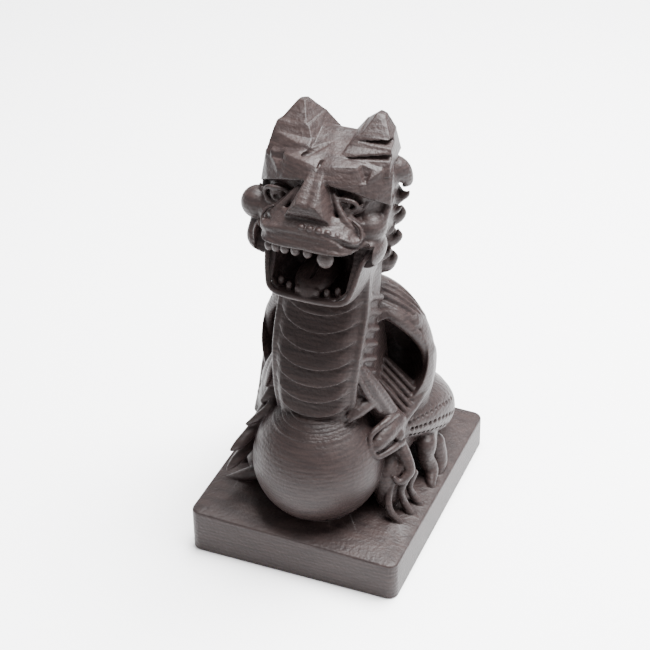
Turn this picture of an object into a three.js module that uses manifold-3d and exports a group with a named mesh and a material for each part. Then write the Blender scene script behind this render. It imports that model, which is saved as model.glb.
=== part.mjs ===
// A small seated dragon carved with its ball and its plinth from one block of dark wood.
// Millimetres, +Z up, the dragon looks along -Y. The origin is the middle of the plinth's underside.

import * as THREE from 'three';
import Module from 'manifold-3d';

const wasm = await Module();
wasm.setup();

// ---------------------------------------------------------------- driving dimensions

const PLINTH = {
  width: 30, length: 37.2, cornerRadius: 1.4, bottomEase: 0.35, topEase: 0.3,
  middleHeight: 5.8, riseToLeft: 0.45, riseToFront: 0.45, hipInset: 3.6, hipRise: 0.45,
};
const BALL = { radius: 8.95, at: [0.3, -8.9, 13.6], around: 26, rings: 14 };

// Neck levels from foot to head: front of the belly plates, the plates' raised edge,
// half width of the plates, half width of the flanks, and the nape.
const NECK_LEVELS = [
  { z: 19.0, front: -10.4, edge: -8.4, plate: 5.2, flank: 8.0, nape: 5.0 },
  { z: 23.0, front: -11.1, edge: -9.2, plate: 5.4, flank: 8.4, nape: 6.0 },
  { z: 26.5, front: -11.0, edge: -9.2, plate: 5.6, flank: 8.2, nape: 6.0 },
  { z: 30.0, front: -10.5, edge: -8.6, plate: 5.8, flank: 7.2, nape: 5.0 },
  { z: 33.0, front: -9.5, edge: -7.4, plate: 5.9, flank: 6.4, nape: 4.6 },
  { z: 36.0, front: -8.2, edge: -5.9, plate: 5.9, flank: 6.1, nape: 4.4 },
  { z: 39.0, front: -7.3, edge: -5.0, plate: 5.8, flank: 6.0, nape: 4.4 },
  { z: 44.0, front: -6.6, edge: -4.4, plate: 5.8, flank: 6.2, nape: 4.4 },
];
const BELLY_PLATES = { count: 6, bottom: 22.6, pitch: 2.75, lip: 0.5, sag: 0.9 };

const SKULL = [
  { y: -6.2, half: 6.4, low: 45.5, high: 56.4 },
  { y: -4.0, half: 7.8, low: 43.5, high: 57.4 },
  { y: 0.0, half: 8.1, low: 42.0, high: 58.8 },
  { y: 3.4, half: 7.0, low: 42.5, high: 58.0 },
  { y: 6.2, half: 4.6, low: 45.0, high: 55.0 },
];
const BROW = [
  { x: 0.0, edge: [-7.5, 56.4], top: [-6.5, 57.5] },
  { x: 1.8, edge: [-7.9, 55.9], top: [-6.3, 57.8] },
  { x: 4.4, edge: [-7.2, 55.2], top: [-5.4, 57.9] },
  { x: 7.2, edge: [-6.0, 54.1], top: [-4.4, 57.4] },
  { x: 9.0, edge: [-4.2, 52.8], top: [-2.8, 56.4] },
];
const EAR = [
  [[1.3, -5.2, 57.2], [8.4, -3.8, 56.0], [7.4, 3.2, 56.5], [1.0, 4.2, 57.6]],
  [[3.2, -1.9, 59.9], [7.7, -1.4, 59.8], [6.9, 2.6, 59.8], [2.9, 3.4, 60.0]],
  [[4.8, 1.1, 62.0], [6.0, 1.3, 61.9], [5.9, 2.5, 61.7], [4.9, 2.7, 61.8]],
];
const EYE = { at: [5.0, -6.6, 53.0], radius: 1.55 };
const NOSE = [
  { z: 57.3, front: -7.0, half: 1.3 },
  { z: 55.6, front: -9.0, half: 1.8 },
  { z: 54.2, front: -10.6, half: 2.6 },
  { z: 52.8, front: -10.9, half: 3.2 },
  { z: 51.4, front: -9.9, half: 3.1 },
];
const MUZZLE = [
  { z: 53.0, front: -9.4, half: 5.6 },
  { z: 51.6, front: -11.6, half: 6.3 },
  { z: 50.7, front: -12.2, half: 6.6 },
  { z: 50.5, front: -11.9, half: 6.4 },
  { z: 50.1, front: -12.4, half: 6.7 },
  { z: 48.9, front: -12.4, half: 6.6 },
  { z: 48.4, front: -11.7, half: 6.1 },
];
const LIP_DROOP = 1.5;
const JAW = [
  { z: 38.8, front: -9.0, half: 4.0 },
  { z: 39.9, front: -10.9, half: 4.8 },
  { z: 41.4, front: -11.4, half: 5.3 },
  { z: 44.0, front: -10.6, half: 5.7 },
  { z: 47.6, front: -8.6, half: 6.4 },
];
const MOUTH = [
  { y: -14.0, half: 4.5, floor: 41.6, roof: 48.9 },
  { y: -10.6, half: 4.5, floor: 41.2, roof: 48.9 },
  { y: -8.0, half: 4.8, floor: 40.9, roof: 48.6 },
  { y: -4.6, half: 4.2, floor: 41.4, roof: 47.6 },
  { y: -2.8, half: 2.8, floor: 43.0, roof: 46.2 },
];
const TEETH = { along: [-4.1, -2.5, -1.0, 1.0], radius: 0.6, y: -11.7, z: 48.3 };
const FANG = { at: [3.1, -11.7, 47.9], radii: [1.15, 1.0, 1.4] };
const CHEEK_BALL = { at: [-9.0, -5.2, 49.8], radius: 2.2 };
const CHEEKBONE = { at: [7.0, -5.4, 49.6], radii: [1.9, 2.2, 1.8] };
const JOWL = { at: [7.0, -6.6, 46.8], radii: [2.0, 3.4, 2.2] };

const WING_HUMP = { at: [2.9, 2.9, 23.1], radii: [9.6, 6.8, 13.0] };
const SPINE = { at: [0, 6.6, 20.0], radii: [5.6, 7.6, 13.0] };
const RUMP = { at: [0, 9.2, 11.6], radii: [11.0, 8.4, 8.6] };
const CHEST = { at: [0, -3.0, 18.0], radii: [10.6, 5.6, 8.0] };

const WING_RIM = [
  [4.6, 0.6, 33.2, 0.9], [7.6, 0.4, 32.2, 0.9], [10.0, 1.4, 29.7, 0.9], [11.3, 2.5, 26.8, 0.8],
  [11.7, 2.8, 24.0, 0.8], [11.5, 2.2, 21.2, 0.9], [10.9, -0.4, 19.3, 1.0], [10.4, -3.6, 17.9, 0.9],
];
const WING_RIBS = [
  [[5.6, 1.6, 34.4, 0.8], [5.2, 6.6, 32.0, 0.7], [4.4, 9.6, 25.6, 0.7], [3.6, 12.6, 18.6, 0.6]],
  [[9.8, 2.2, 31.0, 0.8], [9.2, 6.8, 28.2, 0.7], [7.8, 9.4, 22.6, 0.7], [6.6, 13.4, 16.0, 0.6]],
  [[11.8, 3.6, 26.0, 0.8], [11.2, 6.8, 23.2, 0.7], [10.0, 9.6, 18.8, 0.7], [8.8, 13.0, 14.0, 0.6]],
];
const WING_HOLLOW = [
  { y: -9.0, at: [8.6, 26.2], radii: [6.4, 7.0] },
  { y: -0.5, at: [8.2, 26.2], radii: [5.0, 6.5] },
  { y: 2.6, at: [7.6, 26.0], radii: [3.9, 5.7] },
  { y: 5.2, at: [7.0, 25.6], radii: [2.8, 4.4] },
  { y: 6.8, at: [6.6, 25.0], radii: [1.4, 2.4] },
];
const MEMBRANE_FOLDS = { count: 5, from: [6.6, 0.2, 24.6], to: [11.2, -0.6, 20.0], step: [-0.2, -1.0, -0.35] };

const UPPER_ARM = [
  [4.6, -6.2, 28.4, 1.2], [5.8, -6.4, 26.4, 1.8], [6.9, -5.6, 23.6, 2.0], [7.5, -4.8, 20.6, 2.0],
  [8.2, -4.2, 16.4, 2.1], [8.8, -4.0, 11.0, 2.0],
];
const ARM_LOCKS = [
  [[5.5, -8.4, 28.8, 0.5], [7.0, -7.6, 25.4, 0.6], [8.4, -6.2, 21.6, 0.35]],
  [[5.9, -7.4, 29.0, 0.5], [7.7, -6.4, 25.4, 0.6], [9.2, -5.0, 21.2, 0.35]],
  [[5.2, -9.4, 27.6, 0.45], [6.4, -8.8, 25.4, 0.5], [7.4, -7.6, 23.2, 0.3]],
];
const FINGERS = [
  [[7.4, -5.4, 22.2, 1.3], [7.0, -7.8, 23.2, 1.1], [6.2, -9.6, 22.8, 0.8], [5.3, -10.6, 21.8, 0.35]],
  [[8.8, -4.0, 16.8, 2.0], [8.6, -6.8, 18.2, 1.6], [8.5, -9.4, 17.8, 1.2], [8.2, -11.0, 17.0, 0.5]],
  [[9.4, -4.4, 13.6, 1.6], [10.2, -7.6, 13.6, 1.3], [10.7, -10.2, 13.7, 1.0], [10.7, -11.9, 13.9, 0.5]],
];
const TALONS = [
  [[10.0, -5.4, 10.4, 1.5], [11.0, -8.8, 11.6, 1.2], [11.2, -11.2, 11.0, 1.0], [10.8, -11.0, 8.6, 0.8],
    [11.0, -9.2, 5.8, 1.1]],
  [[9.8, -3.6, 14.6, 1.5], [10.8, -4.6, 12.6, 1.2], [11.3, -5.4, 10.4, 1.1], [11.2, -6.0, 8.2, 0.9],
    [11.8, -5.8, 5.8, 1.1]],
  [[10.2, -2.4, 13.0, 1.5], [11.4, -2.4, 10.6, 1.2], [12.2, -2.6, 8.2, 0.9], [12.9, -3.0, 5.6, 1.0]],
];

const HAUNCH = [
  [7.4, 12.6, 10.4, 4.0], [9.8, 8.4, 12.4, 3.9], [10.3, 4.4, 14.2, 3.2], [9.8, 0.4, 15.4, 2.4],
  [9.2, -2.8, 16.4, 1.6],
];
const HIND_FOOT = [
  [10.4, 4.4, 11.0, 2.2], [12.0, 1.6, 11.0, 1.5], [12.0, 1.6, 8.8, 1.2], [12.8, 1.6, 6.8, 1.2],
  [13.6, -0.4, 5.6, 0.7],
];
const HIND_TOE = [[12.2, 4.8, 9.0, 1.5], [13.0, 4.2, 6.6, 1.3], [13.5, 2.8, 5.4, 0.7]];

const MANE_LOCKS = [
  [[6.4, 0.6, 54.4, 2.2], [8.2, 0.4, 54.2, 1.3], [8.8, -0.4, 52.6, 0.4]],
  [[5.8, 1.6, 50.6, 2.2], [7.6, 1.2, 50.6, 1.1], [8.9, 0.0, 51.6, 0.25]],
  [[5.6, 2.0, 47.4, 2.0], [7.0, 1.6, 47.4, 1.1], [8.0, 0.6, 48.4, 0.25]],
  [[5.2, 2.2, 43.8, 2.0], [6.6, 2.0, 43.8, 1.1], [7.6, 0.8, 44.8, 0.25]],
  [[5.0, 2.6, 39.6, 2.0], [6.2, 2.4, 39.8, 1.1], [7.0, 1.4, 41.0, 0.25]],
];
const CREST = { spikes: 8, from: [0, 5.2, 56.0], over: [0, 3.4, 40.0], to: [0, 10.6, 30.0], length: 2.6 };
const TAIL = [
  [2.0, 14.0, 11.0, 3.4], [-3.0, 15.2, 9.4, 2.8], [-8.4, 15.2, 8.0, 2.2], [-12.2, 13.0, 7.2, 1.7],
  [-13.4, 9.2, 6.8, 1.2], [-13.2, 6.2, 6.8, 0.5],
];

const SHORTEST_EDGE = 0.22;
const WOOD = new THREE.MeshStandardMaterial({ color: 0x3a2724, roughness: 0.55, metalness: 0 });

// ---------------------------------------------------------------- making closed bodies

const point = (x, y, z) => new THREE.Vector3(x, y, z);

function middleOf(ring) {
  const sum = ring.reduce((total, p) => total.add(p), point(0, 0, 0));
  return sum.multiplyScalar(1 / ring.length);
}

// A closed body through equal rings of points, with a fan over each end.
function bodyFromRings(rings, ends = [middleOf(rings[0]), middleOf(rings.at(-1))]) {
  const count = rings[0].length;
  const points = [...rings.flat(), ...ends];
  const faces = [];
  const next = (i) => (i + 1) % count;
  for (let r = 0; r + 1 < rings.length; r += 1) {
    for (let i = 0; i < count; i += 1) {
      const a = r * count + i;
      const b = r * count + next(i);
      faces.push([a, b, b + count], [a, b + count, a + count]);
    }
  }
  const lastRow = (rings.length - 1) * count;
  for (let i = 0; i < count; i += 1) {
    faces.push([rings.length * count, next(i), i]);
    faces.push([rings.length * count + 1, lastRow + i, lastRow + next(i)]);
  }
  const volume = faces.reduce((sum, [a, b, c]) => (
    sum + points[a].dot(point(0, 0, 0).crossVectors(points[b], points[c]))), 0);
  const facing = volume < 0 ? faces.map(([a, b, c]) => [a, c, b]) : faces;
  return new wasm.Manifold(new wasm.Mesh({
    numProp: 3,
    vertProperties: new Float32Array(points.flatMap((p) => [p.x, p.y, p.z])),
    triVerts: new Uint32Array(facing.flat()),
  }));
}

const mirroredRings = (rings) => rings.map((ring) => ring.map((p) => point(-p.x, p.y, p.z)));
const onBothSides = (rings) => [bodyFromRings(rings), bodyFromRings(mirroredRings(rings))];

// Rings along a smooth path of [x, y, z, radius] stations, for limbs, locks and claws.
function limbRings(stations, { sides = 8, steps = 2 * (stations.length - 1), flat = 1 } = {}) {
  const path = new THREE.CatmullRomCurve3(stations.map(([x, y, z]) => point(x, y, z)));
  const girth = new THREE.CatmullRomCurve3(stations.map((s, i) => point(s[3], i, 0)));
  const rings = [];
  let across = point(1, 0.2, 0.1);
  for (let s = 0; s <= steps; s += 1) {
    const t = s / steps;
    const along = path.getTangent(t);
    across = across.clone().addScaledVector(along, -across.dot(along)).normalize();
    const over = point(0, 0, 0).crossVectors(along, across);
    const radius = girth.getPoint(t).x;
    rings.push(Array.from({ length: sides }, (_, i) => {
      const angle = (2 * Math.PI * i) / sides;
      return path.getPoint(t)
        .addScaledVector(across, radius * Math.cos(angle))
        .addScaledVector(over, radius * flat * Math.sin(angle));
    }));
  }
  return rings;
}

// Rings and poles of an ellipsoid.
function lump([x, y, z], [rx, ry, rz], around = 16, levels = 10) {
  const rings = [];
  for (let l = 1; l < levels; l += 1) {
    const polar = (Math.PI * l) / levels;
    rings.push(Array.from({ length: around }, (_, i) => {
      const turn = (2 * Math.PI * i) / around;
      return point(
        x + rx * Math.sin(polar) * Math.cos(turn),
        y + ry * Math.sin(polar) * Math.sin(turn),
        z + rz * Math.cos(polar),
      );
    }));
  }
  return bodyFromRings(rings, [point(x, y, z + rz), point(x, y, z - rz)]);
}

const lumpOnBothSides = ([x, y, z], radii, around, levels) => (
  [-x, x].map((side) => lump([side, y, z], radii, around, levels)));

// A straight-line reading between the rows of a table, by one of its keys.
function between(rows, key, value) {
  const upper = rows.findIndex((row) => row[key] >= value);
  const high = rows[upper < 0 ? rows.length - 1 : Math.max(upper, 1)];
  const low = rows[(upper < 0 ? rows.length - 1 : Math.max(upper, 1)) - 1];
  const share = THREE.MathUtils.clamp((value - low[key]) / (high[key] - low[key]), 0, 1);
  return Object.fromEntries(Object.keys(high).map((name) => (
    [name, THREE.MathUtils.lerp(low[name], high[name], share)])));
}

const joined = (bodies) => bodies.reduce((whole, body) => whole.add(body));

// ---------------------------------------------------------------- plinth and ball

function plinthRing(inset, height) {
  const half = [PLINTH.width / 2 - inset, PLINTH.length / 2 - inset];
  const radius = Math.max(PLINTH.cornerRadius - inset, 0.2);
  const ring = [];
  for (const [sx, sy, start] of [[1, 1, 0], [-1, 1, 1], [-1, -1, 2], [1, -1, 3]]) {
    for (let step = 0; step <= 4; step += 1) {
      const angle = (Math.PI / 2) * (start + step / 4);
      const x = sx * (half[0] - radius) + radius * Math.cos(angle);
      const y = sy * (half[1] - radius) + radius * Math.sin(angle);
      ring.push(point(x, y, height(x, y)));
    }
  }
  return ring;
}

function plinth() {
  const top = (rise) => (x, y) => PLINTH.middleHeight + rise
    - PLINTH.riseToLeft * (x / (PLINTH.width / 2)) - PLINTH.riseToFront * (y / (PLINTH.length / 2));
  return bodyFromRings([
    plinthRing(PLINTH.bottomEase, () => 0),
    plinthRing(0, () => PLINTH.bottomEase),
    plinthRing(0, top(-PLINTH.topEase)),
    plinthRing(PLINTH.topEase, top(0)),
    plinthRing(PLINTH.hipInset, top(PLINTH.hipRise)),
  ]);
}

const ball = () => lump(BALL.at, Array(3).fill(BALL.radius), BALL.around, BALL.rings);

// ---------------------------------------------------------------- neck and head

// One level of the neck; the belly plates hang lower in the middle than at their raised edges.
function neckRing(z, lip) {
  const level = between(NECK_LEVELS, 'z', z);
  const { front, edge, plate, flank, nape } = level;
  const rightHalf = [
    [0, front - lip, -1], [plate * 0.4, front + 0.25 - lip, -0.8], [plate * 0.78, front + 0.9 - lip, -0.35],
    [plate * 0.96, edge - 0.1, 0], [plate * 1.05, edge + 0.1, 0], [plate * 1.07, edge + 0.9, 0],
    [flank * 0.93, edge + 2.4, 0], [flank, edge + 4.6, 0], [flank * 0.9, nape - 3.2, 0],
    [flank * 0.55, nape - 0.6, 0], [0, nape, 0],
  ];
  const leftHalf = rightHalf.slice(1, -1).reverse().map(([x, y, hang]) => [-x, y, hang]);
  return [...rightHalf, ...leftHalf].map(([x, y, hang]) => point(x, y, z + hang * BELLY_PLATES.sag));
}

function neck() {
  const rings = [neckRing(NECK_LEVELS[0].z, 0)];
  for (let i = 0; i < BELLY_PLATES.count; i += 1) {
    const z = BELLY_PLATES.bottom + i * BELLY_PLATES.pitch;
    rings.push(neckRing(z, -0.1), neckRing(z + 0.5, BELLY_PLATES.lip));
    rings.push(neckRing(z + BELLY_PLATES.pitch * 0.6, BELLY_PLATES.lip * 0.5));
  }
  rings.push(neckRing(NECK_LEVELS.at(-1).z - 2, 0), neckRing(NECK_LEVELS.at(-1).z, 0));
  return bodyFromRings(rings);
}

function skull() {
  return bodyFromRings(SKULL.map(({ y, half, low, high }) => {
    const middle = (low + high) / 2;
    const rightHalf = [
      [0, high], [half * 0.6, high - 0.4], [half * 0.94, high - 2.2], [half, middle + 1.5],
      [half * 0.92, middle - 3], [half * 0.62, low + 0.8], [0, low],
    ];
    const leftHalf = rightHalf.slice(1, -1).reverse().map(([x, z]) => [-x, z]);
    return [...rightHalf, ...leftHalf].map(([x, z]) => point(x, y, z));
  }));
}

function brow() {
  const section = ({ x, edge, top }) => [
    point(x, ...edge), point(x, ...top), point(x * 0.94, 1, top[1] + 0.6), point(x * 0.9, 1, edge[1] - 0.5),
  ];
  const rightHalf = BROW.map(section);
  const leftHalf = mirroredRings(rightHalf.slice(1)).reverse();
  return bodyFromRings([...leftHalf, ...rightHalf]);
}

const ears = () => onBothSides(EAR.map((corners) => corners.map((corner) => point(...corner))));

// A level of the nose, with a shallow groove down its middle.
const noseRing = ({ z, front, half }) => [
  [-half, -4], [-half, front + 1.6], [-half * 0.8, front + 0.4], [-half * 0.4, front], [0, front + 0.35],
  [half * 0.4, front], [half * 0.8, front + 0.4], [half, front + 1.6], [half, -4],
].map(([x, y]) => point(x, y, z));

// A level of the muzzle or the lower jaw: square at the front with well rounded corners.
function jawRing({ z, front, half }, droop, back) {
  const rightHalf = [
    [0, front], [half * 0.45, front + 0.15], [half * 0.8, front + 0.8], [half * 0.97, front + 2.3],
    [half, front + 4], [half * 1.05, back],
  ];
  const leftHalf = rightHalf.slice(1).reverse().map(([x, y]) => [-x, y]);
  return [...rightHalf, ...leftHalf].map(([x, y]) => point(x, y, z - droop * (x / half) ** 2));
}

const muzzle = () => bodyFromRings(MUZZLE.map((level) => jawRing(level, LIP_DROOP, -3)));
const lowerJaw = () => bodyFromRings(JAW.map((level) => jawRing(level, 0, -2)));

function mouthHollow() {
  const rings = MOUTH.map(({ y, half, floor, roof }) => [
    [-half, roof - 1.2], [-half * 0.6, roof - 0.2], [0, roof], [half * 0.6, roof - 0.2], [half, roof - 1.2],
    [half, floor + 1.2], [half * 0.7, floor], [0, floor], [-half * 0.7, floor], [-half, floor + 1.2],
  ].map(([x, z]) => point(x, y, z)));
  return bodyFromRings(rings);
}

// The wedge that parts the jaws at the sides, running back to the corner of the mouth.
function mouthSides() {
  const wedge = [[-14, 41.0], [-14, 48.9], [-11.2, 47.6], [-7.4, 46.8], [-11.4, 41.6]];
  return bodyFromRings([-8, 8].map((x) => wedge.map(([y, z]) => point(x, y, z))));
}

function tongue() {
  return bodyFromRings(limbRings([
    [0, -3.4, 42.0, 2.6], [0, -6.4, 42.4, 2.9], [0, -9.0, 42.2, 2.7], [0, -10.6, 41.4, 1.2],
  ], { flat: 0.45 }));
}

function teeth() {
  const beads = TEETH.along.map((x) => lump(
    [x, TEETH.y, TEETH.z - LIP_DROOP * (x / MUZZLE[5].half) ** 2],
    [TEETH.radius, TEETH.radius, TEETH.radius * 1.5], 6, 4,
  ));
  return joined([...beads, lump(FANG.at, FANG.radii, 10, 6)]);
}

function head() {
  const face = joined([
    skull(), brow(), ...ears(), muzzle(), lowerJaw(), bodyFromRings(NOSE.map(noseRing)),
    ...lumpOnBothSides(EYE.at, Array(3).fill(EYE.radius), 10, 6),
    lump(CHEEK_BALL.at, Array(3).fill(CHEEK_BALL.radius), 10, 8),
    ...lumpOnBothSides(CHEEKBONE.at, CHEEKBONE.radii, 8, 6),
    ...lumpOnBothSides(JOWL.at, JOWL.radii, 10, 6),
  ]);
  return face.subtract(mouthHollow()).subtract(mouthSides()).add(tongue()).add(teeth());
}

// ---------------------------------------------------------------- body, wings and limbs

function wingHollows() {
  const rings = WING_HOLLOW.map(({ y, at, radii }) => Array.from({ length: 14 }, (_, i) => {
    const angle = (2 * Math.PI * i) / 14;
    return point(at[0] + radii[0] * Math.cos(angle), y, at[1] + radii[1] * Math.sin(angle));
  }));
  return joined(onBothSides(rings));
}

function membraneFolds() {
  const { count, from, to, step } = MEMBRANE_FOLDS;
  return Array.from({ length: count }, (_, i) => {
    const shifted = (place, share) => place.map((value, axis) => value + step[axis] * i * share);
    return onBothSides(limbRings(
      [[...shifted(from, 0.7), 0.9], [...shifted(to, 1), 0.7]], { sides: 6, steps: 1 },
    ));
  }).flat();
}

function body() {
  const trunk = joined([
    ...lumpOnBothSides(WING_HUMP.at, WING_HUMP.radii, 16, 11),
    lump(SPINE.at, SPINE.radii, 12, 8), lump(RUMP.at, RUMP.radii, 14, 8),
  ]);
  const hollowed = trunk.subtract(wingHollows());
  const rims = onBothSides(limbRings(WING_RIM));
  const ribs = WING_RIBS.flatMap((rib) => onBothSides(limbRings(rib, { sides: 5, steps: 4 })));
  const chest = lump(CHEST.at, CHEST.radii, 12, 8);
  return joined([hollowed, chest, ...rims, ...ribs, ...membraneFolds()]);
}

function limbs() {
  const slim = { sides: 5, steps: 5 };
  return joined([
    ...onBothSides(limbRings(UPPER_ARM)),
    ...ARM_LOCKS.flatMap((lock) => onBothSides(limbRings(lock, { sides: 4, steps: 4 }))),
    ...[...FINGERS, ...TALONS].flatMap((finger) => onBothSides(limbRings(finger, slim))),
    ...onBothSides(limbRings(HAUNCH, { sides: 10, steps: 7 })),
    ...onBothSides(limbRings(HIND_FOOT, slim)),
    ...onBothSides(limbRings(HIND_TOE, slim)),
    bodyFromRings(limbRings(TAIL, { sides: 7, steps: 8 })),
  ]);
}

function mane() {
  const locks = MANE_LOCKS.flatMap((lock) => onBothSides(limbRings(lock, { sides: 5, steps: 4 })));
  const ridge = new THREE.QuadraticBezierCurve3(point(...CREST.from), point(...CREST.over), point(...CREST.to));
  const spikes = Array.from({ length: CREST.spikes }, (_, i) => {
    const share = (i + 0.5) / CREST.spikes;
    const root = ridge.getPoint(share);
    const outward = point(0, ridge.getTangent(share).z * -1, ridge.getTangent(share).y);
    const tip = root.clone().addScaledVector(outward, CREST.length);
    const inside = root.clone().addScaledVector(outward, -2.4);
    return bodyFromRings(limbRings([[...inside, 2.2], [...root, 1.5], [...tip, 0.3]], { sides: 6, steps: 3 }));
  });
  return joined([...locks, ...spikes]);
}

// ---------------------------------------------------------------- tidying the joined surface

// Merges the ends of every edge shorter than `shortest`, wherever that keeps the surface closed
// and turns no face over, so the joined pieces meet without slivers.
function withoutShortEdges({ vertProperties, triVerts }, shortest) {
  const places = Array.from({ length: vertProperties.length / 3 }, (_, v) => (
    new THREE.Vector3().fromArray(vertProperties, 3 * v)));
  const faces = Array.from({ length: triVerts.length / 3 }, (_, f) => [...triVerts.slice(3 * f, 3 * f + 3)]);
  const facesAt = places.map(() => new Set());
  faces.forEach((face, f) => face.forEach((v) => facesAt[v].add(f)));
  const neighbours = (v) => new Set([...facesAt[v]].flatMap((f) => faces[f]).filter((n) => n !== v));
  const normal = ([a, b, c]) => new THREE.Triangle(places[a], places[b], places[c]).getNormal(point(0, 0, 0));

  function staysSound(kept, lost, shared) {
    const common = [...neighbours(kept)].filter((n) => neighbours(lost).has(n));
    return common.length === 2 && shared.length === 2 && [...facesAt[lost]].every((f) => {
      if (shared.includes(f)) return true;
      const moved = faces[f].map((v) => (v === lost ? kept : v));
      return normal(moved).dot(normal(faces[f])) > 0.5;
    });
  }

  function merge(kept, lost) {
    const shared = [...facesAt[lost]].filter((f) => facesAt[kept].has(f));
    if (!staysSound(kept, lost, shared)) return false;
    for (const f of shared) {
      faces[f].forEach((v) => facesAt[v].delete(f));
      faces[f] = null;
    }
    for (const f of facesAt[lost]) {
      faces[f] = faces[f].map((v) => (v === lost ? kept : v));
      facesAt[kept].add(f);
    }
    facesAt[lost].clear();
    return true;
  }

  const isShort = (a, b) => places[a].distanceTo(places[b]) < shortest;
  for (let changed = true; changed;) {
    changed = false;
    faces.forEach((_, f) => {
      for (let corner = 0; faces[f] && corner < 3; corner += 1) {
        const [a, b] = [faces[f][corner], faces[f][(corner + 1) % 3]];
        if (isShort(a, b) && (merge(a, b) || merge(b, a))) {
          changed = true;
          break;
        }
      }
    });
  }
  const left = faces.filter(Boolean);
  const used = [...new Set(left.flat())];
  const renumbered = new Map(used.map((v, i) => [v, i]));
  return {
    positions: new Float32Array(used.flatMap((v) => places[v].toArray())),
    triangles: new Uint32Array(left.flat().map((v) => renumbered.get(v))),
  };
}

// ---------------------------------------------------------------- the whole carving

function carvedDragon() {
  const whole = joined([plinth(), ball(), body(), neck(), limbs(), head(), mane()]);
  const { positions, triangles } = withoutShortEdges(whole.getMesh(), SHORTEST_EDGE);
  const geometry = new THREE.BufferGeometry();
  geometry.setAttribute('position', new THREE.BufferAttribute(positions, 3));
  geometry.setIndex(new THREE.BufferAttribute(triangles, 1));
  geometry.computeVertexNormals();
  const mesh = new THREE.Mesh(geometry, WOOD);
  mesh.name = 'carved_dragon';
  return mesh;
}

const sculpture = new THREE.Group();
sculpture.add(carvedDragon());

export default sculpture;
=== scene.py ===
"""A small dragon carved with its ball and plinth from one block of dark hardwood.

The carving is done the way the wood is: a block of wood is filled with simple bodies that are
joined softly, cut with sharp tools, and its surface is then taken off as one closed mesh.
Lengths in the carving classes are millimetres at the size of the CAD solid.
"""

from __future__ import annotations

import itertools
import logging
import math
from dataclasses import dataclass, field
from enum import Enum
from typing import Iterable, Sequence

import bpy
import numpy as np
import openvdb
from mathutils import Matrix, Vector


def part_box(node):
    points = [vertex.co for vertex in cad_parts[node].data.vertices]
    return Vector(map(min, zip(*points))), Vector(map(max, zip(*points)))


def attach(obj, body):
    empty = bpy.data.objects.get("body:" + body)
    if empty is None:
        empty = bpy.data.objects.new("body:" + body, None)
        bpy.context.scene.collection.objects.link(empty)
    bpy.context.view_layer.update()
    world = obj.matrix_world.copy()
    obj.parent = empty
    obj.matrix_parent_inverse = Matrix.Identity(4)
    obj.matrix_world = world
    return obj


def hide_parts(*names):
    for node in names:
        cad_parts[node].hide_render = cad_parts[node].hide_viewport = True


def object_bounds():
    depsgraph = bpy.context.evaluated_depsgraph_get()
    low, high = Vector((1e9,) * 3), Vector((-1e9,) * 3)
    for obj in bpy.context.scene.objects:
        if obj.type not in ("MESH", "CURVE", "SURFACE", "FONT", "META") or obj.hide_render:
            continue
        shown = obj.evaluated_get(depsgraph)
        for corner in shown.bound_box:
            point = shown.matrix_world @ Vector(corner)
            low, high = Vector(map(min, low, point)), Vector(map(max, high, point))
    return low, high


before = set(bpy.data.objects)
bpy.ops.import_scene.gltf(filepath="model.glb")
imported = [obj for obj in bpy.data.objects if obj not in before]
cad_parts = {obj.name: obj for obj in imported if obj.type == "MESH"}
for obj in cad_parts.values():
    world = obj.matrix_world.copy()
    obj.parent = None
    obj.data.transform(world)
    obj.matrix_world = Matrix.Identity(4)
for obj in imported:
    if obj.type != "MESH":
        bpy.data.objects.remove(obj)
CAD_LOW, CAD_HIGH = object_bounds()

LOG = logging.getLogger("carved_dragon")
Place = tuple[float, float, float]
Station = tuple[float, float, float, float]


# ------------------------------------------------------------------ the block of wood


@dataclass
class Window:
    """A box of cells in the wood block, with the coordinates of their centres."""

    first: tuple[int, int, int]
    count: tuple[int, int, int]
    pitch: float

    def axis(self, number: int) -> np.ndarray:
        """Coordinates along one axis, shaped so that the three axes spread over the box."""
        values = (np.arange(self.count[number]) + self.first[number]) * self.pitch
        shape = [1, 1, 1]
        shape[number] = -1
        return values.astype(np.float32).reshape(shape)


class Shape:
    """A body that can say how far any place is from its surface, negative inside."""

    def reach(self) -> tuple[np.ndarray, np.ndarray]:
        """Lowest and highest corner of the body."""
        raise NotImplementedError

    def distance(self, window: Window) -> np.ndarray:
        """Distances from the surface at every cell of the window."""
        raise NotImplementedError


@dataclass
class Lump(Shape):
    """An ellipsoid, upright or turned about an axis through its middle."""

    at: Place
    radii: Place
    turn: tuple[float, Place] = (0.0, (0.0, 0.0, 1.0))

    def reach(self) -> tuple[np.ndarray, np.ndarray]:
        """Lowest and highest corner; a turned lump takes the box of its longest radius."""
        half = np.array(self.radii if self.turn[0] == 0 else (max(self.radii),) * 3)
        return np.array(self.at) - half, np.array(self.at) + half

    def distance(self, window: Window) -> np.ndarray:
        """Distance by the usual first-order estimate for an ellipsoid."""
        offset = [window.axis(i) - np.float32(self.at[i]) for i in range(3)]
        if self.turn[0]:
            rows = np.array(Matrix.Rotation(-math.radians(self.turn[0]), 3, Vector(self.turn[1])))
            offset = [sum(np.float32(row[i]) * offset[i] for i in range(3)) for row in rows]
        unit = [offset[i] / np.float32(self.radii[i]) for i in range(3)]
        near = np.sqrt(sum(u * u for u in unit)) + np.float32(1e-6)
        steep = np.sqrt(sum((u / np.float32(r)) ** 2 for u, r in zip(unit, self.radii)))
        return near * (near - 1) / (steep + np.float32(1e-6))


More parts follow.
